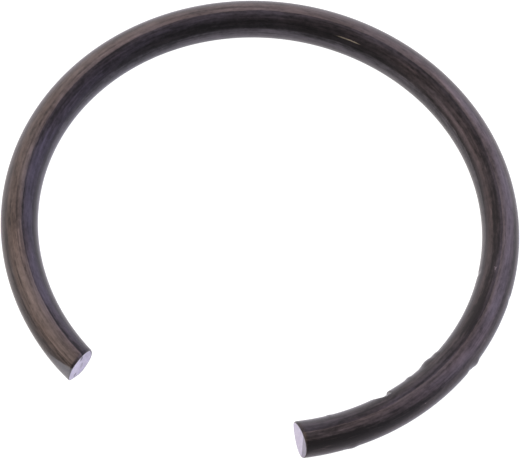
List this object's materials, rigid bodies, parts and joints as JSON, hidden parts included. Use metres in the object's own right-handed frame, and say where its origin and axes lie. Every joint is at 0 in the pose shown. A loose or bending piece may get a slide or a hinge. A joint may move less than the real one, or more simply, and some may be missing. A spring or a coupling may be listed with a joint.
{
  "type": "circlip retaining ring",
  "caption": "Round-wire circlip retaining ring: an open C of blackened spring wire with sheared ends, which snaps into a groove in a bore.",
  "frame": {"origin": "centre of the ring's circle, in the middle plane of its wire", "axes": "+Z along the ring's axis, -Y towards the middle of the mouth, +X towards the right end of the wire"},
  "size_m": [0.0278, 0.0261, 0.002],
  "materials": {
    "blackened_wire": "drawn and blackened spring wire, rubbed brown on its upper side, with bare sheared ends"
  },
  "bodies": {
    "root": {"snap_ring": "blackened_wire"}
  },
  "joints": []
}
